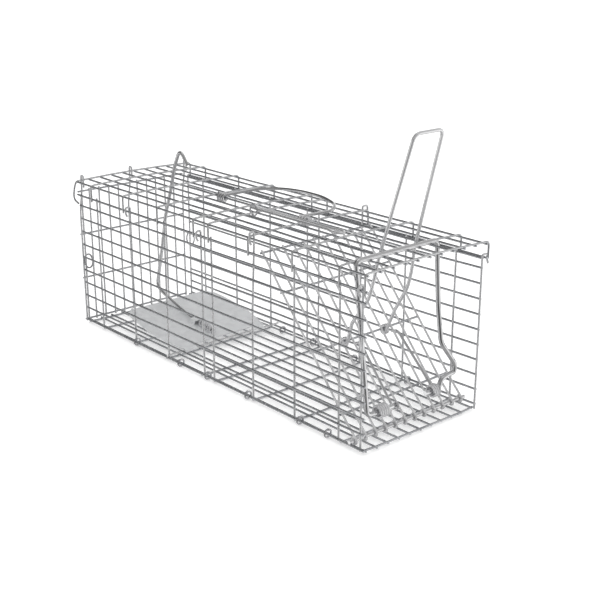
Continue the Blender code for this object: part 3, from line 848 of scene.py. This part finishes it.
# What the bright metal mirrors: direction, inner and outer angle of the patch in degrees, brightness.
REFLECTIONS = (
    ((0, 0, -1), 40, 80, 0.42),
    ((0.2, 1, 0.35), 30, 75, 0.52),
    ((-1, -0.35, 0.35), 30, 70, 0.11),
    ((0, 0.1, 1), 10, 30, 0.9),
    ((0.63, 0.72, -0.3), 18, 40, 1.1),
    ((-0.6, -0.74, -0.3), 14, 30, 1.1),
    ((0.71, -0.62, -0.3), 10, 26, 0.03),
    ((-0.75, 0.66, -0.1), 18, 40, 1.1),
)
REST_OF_ROOM = 0.34  # brightness of what it mirrors elsewhere
PAPER = {"size": 60.0, "grey": 0.93, "roughness": 0.9, "glow": 0.3}  # size in metres
# Area lights: name, place and size in metres, power.
LIGHTS = (
    ("key", (-0.7, -1.1, 1.5), (1.2, 1.2), 5),
    ("fill", (1.4, -0.4, 0.9), (1.0, 1.0), 2),
    ("rim", (0.2, 1.5, 1.2), (1.6, 0.6), 4),
)
LIGHTS_AIM = Vector((0, 0, 0.07))
AZIMUTH = math.radians(48.66)
ELEVATION = math.radians(18.88)
DISTANCE = 77.21 * CELL
AIM_RIGHT, AIM_DOWN = 2.62 * CELL, 1.18 * CELL  # where the camera aims, from the cage's middle
SENSOR, LENS = 36.0, 67.7


def math_node(tree, operation, *values):
    """One arithmetic node fed with links or plain numbers."""
    node = tree.nodes.new("ShaderNodeMath")
    node.operation = operation
    for socket, value in zip(node.inputs, values):
        if isinstance(value, (int, float)):
            socket.default_value = value
        else:
            tree.links.new(value, socket)
    return node.outputs[0]


def painted(tree, where, under, direction, inner, outer, brightness):
    """The room's brightness with one soft round patch painted over it."""
    dot = tree.nodes.new("ShaderNodeVectorMath")
    dot.operation = "DOT_PRODUCT"
    tree.links.new(where, dot.inputs[0])
    dot.inputs[1].default_value = Vector(direction).normalized()
    fade = tree.nodes.new("ShaderNodeMapRange")
    fade.interpolation_type = "SMOOTHSTEP"
    fade.inputs["From Min"].default_value = math.cos(math.radians(outer))
    fade.inputs["From Max"].default_value = math.cos(math.radians(inner))
    tree.links.new(dot.outputs["Value"], fade.inputs["Value"])
    share = fade.outputs[0]
    kept = math_node(tree, "MULTIPLY", under, math_node(tree, "SUBTRACT", 1.0, share))
    return math_node(tree, "ADD", kept, math_node(tree, "MULTIPLY", share, brightness))


def build_world():
    """Plain white, except for what the bright metal mirrors."""
    world = bpy.data.worlds.new("studio")
    bpy.context.scene.world = world
    world.use_nodes = True
    tree = world.node_tree
    tree.nodes.clear()
    output = tree.nodes.new("ShaderNodeOutputWorld")
    plain = tree.nodes.new("ShaderNodeBackground")
    plain.inputs["Color"].default_value = (1, 1, 1, 1)
    plain.inputs["Strength"].default_value = 1.0
    where = tree.nodes.new("ShaderNodeTexCoord").outputs["Generated"]
    brightness = REST_OF_ROOM
    for direction, inner, outer, target in REFLECTIONS:
        brightness = painted(tree, where, brightness, direction, inner, outer, target)
    studio = tree.nodes.new("ShaderNodeBackground")
    tree.links.new(brightness, studio.inputs["Strength"])
    paths = tree.nodes.new("ShaderNodeLightPath")
    mix = tree.nodes.new("ShaderNodeMixShader")
    tree.links.new(paths.outputs["Is Glossy Ray"], mix.inputs["Fac"])
    tree.links.new(plain.outputs["Background"], mix.inputs[1])
    tree.links.new(studio.outputs["Background"], mix.inputs[2])
    tree.links.new(mix.outputs["Shader"], output.inputs["Surface"])


def build_paper():
    bpy.ops.mesh.primitive_plane_add(size=PAPER["size"], location=(0, 0, 0))
    ground = bpy.context.object
    ground.name = "studio_floor"
    made, tree, shader = new_material("studio_paper")
    shader.inputs["Base Color"].default_value = (PAPER["grey"], PAPER["grey"], PAPER["grey"], 1)
    shader.inputs["Roughness"].default_value = PAPER["roughness"]
    shader.inputs["Emission Color"].default_value = (1, 1, 1, 1)
    shader.inputs["Emission Strength"].default_value = PAPER["glow"]
    ground.data.materials.append(made)
    ground.visible_glossy = False


def area_light(name, place, size, power):
    data = bpy.data.lights.new(name, "AREA")
    data.shape = "RECTANGLE"
    data.size, data.size_y = size
    data.energy = power
    light = bpy.data.objects.new(name, data)
    light.visible_glossy = False
    light.location = place
    light.rotation_euler = (LIGHTS_AIM - Vector(place)).to_track_quat("-Z", "Y").to_euler()
    bpy.context.scene.collection.objects.link(light)


def build_camera():
    level = math.cos(ELEVATION)
    back = Vector((math.sin(AZIMUTH) * level, -math.cos(AZIMUTH) * level, math.sin(ELEVATION)))
    right = Vector((math.cos(AZIMUTH), math.sin(AZIMUTH), 0))
    above = back.cross(right)
    aim = at(LENGTH / 2, WIDTH / 2, 5.5) + right * AIM_RIGHT - above * AIM_DOWN
    data = bpy.data.cameras.new("camera")
    data.sensor_width = SENSOR
    data.lens = LENS
    camera = bpy.data.objects.new("camera", data)
    bpy.context.scene.collection.objects.link(camera)
    axes = Matrix((right, above, back)).transposed().to_4x4()
    camera.matrix_world = Matrix.Translation((aim + back * DISTANCE) * MM) @ axes
    bpy.context.scene.camera = camera


build_roof()
build_sides()
build_floor()
build_rear()
build_rings()
build_door()
build_lever()
build_bail()
build_springs()
build_trigger()
build_latch()
build_handle()
cover_plate()

build_world()
build_paper()
for light_settings in LIGHTS:
    area_light(*light_settings)
build_camera()
bpy.context.scene.view_settings.view_transform = "Standard"
